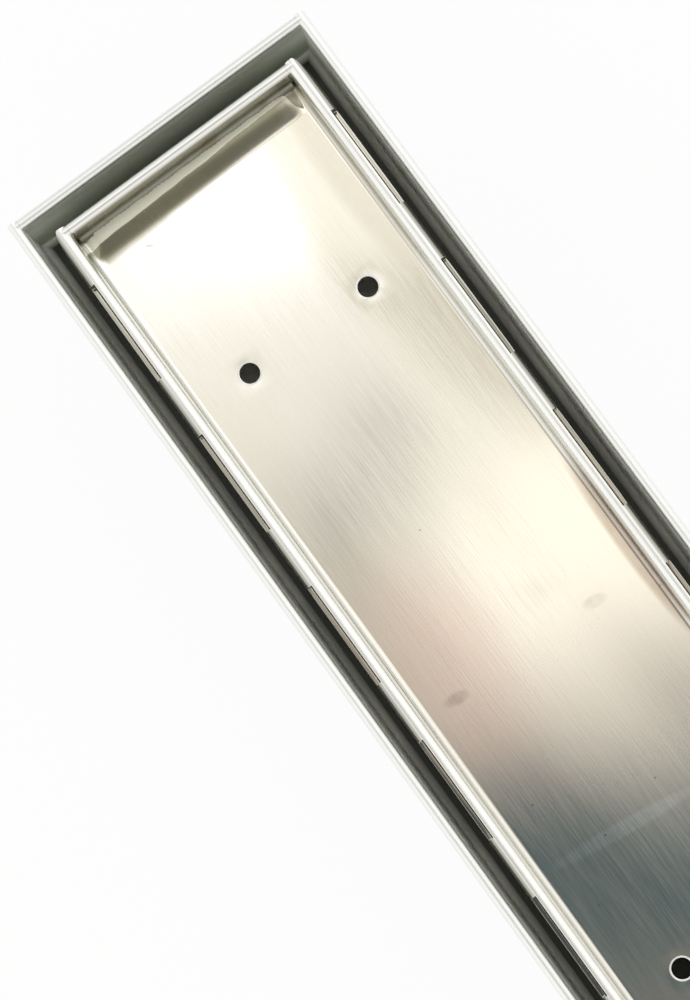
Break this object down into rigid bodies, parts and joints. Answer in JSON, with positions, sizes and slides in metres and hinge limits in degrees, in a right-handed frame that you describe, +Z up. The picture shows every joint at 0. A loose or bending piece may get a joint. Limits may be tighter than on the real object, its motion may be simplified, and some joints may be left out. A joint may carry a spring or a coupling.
{
  "type": "channel drain with tile tray",
  "caption": "Long folded stainless steel floor drain: a narrow trough with hemmed rims, a spigot under its floor and a loose slotted tray that a floor tile is set into.",
  "frame": {"origin": "middle of the outlet spigot's lower end, on which the drain stands", "axes": "+X along the channel, from the end that the picture shows, +Y across it, +Z up out of the tray"},
  "size_m": [0.745, 0.1, 0.07],
  "materials": {
    "channel_steel": "brushed along the channel",
    "tray_steel": "fine brushing along the tray",
    "spigot_steel": "satin pipe"
  },
  "bodies": {
    "root": {"channel_trough": "channel_steel", "channel_end_plate_left": "channel_steel", "channel_end_plate_right": "channel_steel", "outlet_spigot": "spigot_steel", "tile_tray": "tray_steel", "tray_end_plate_left": "tray_steel", "tray_end_plate_right": "tray_steel"}
  },
  "joints": []
}
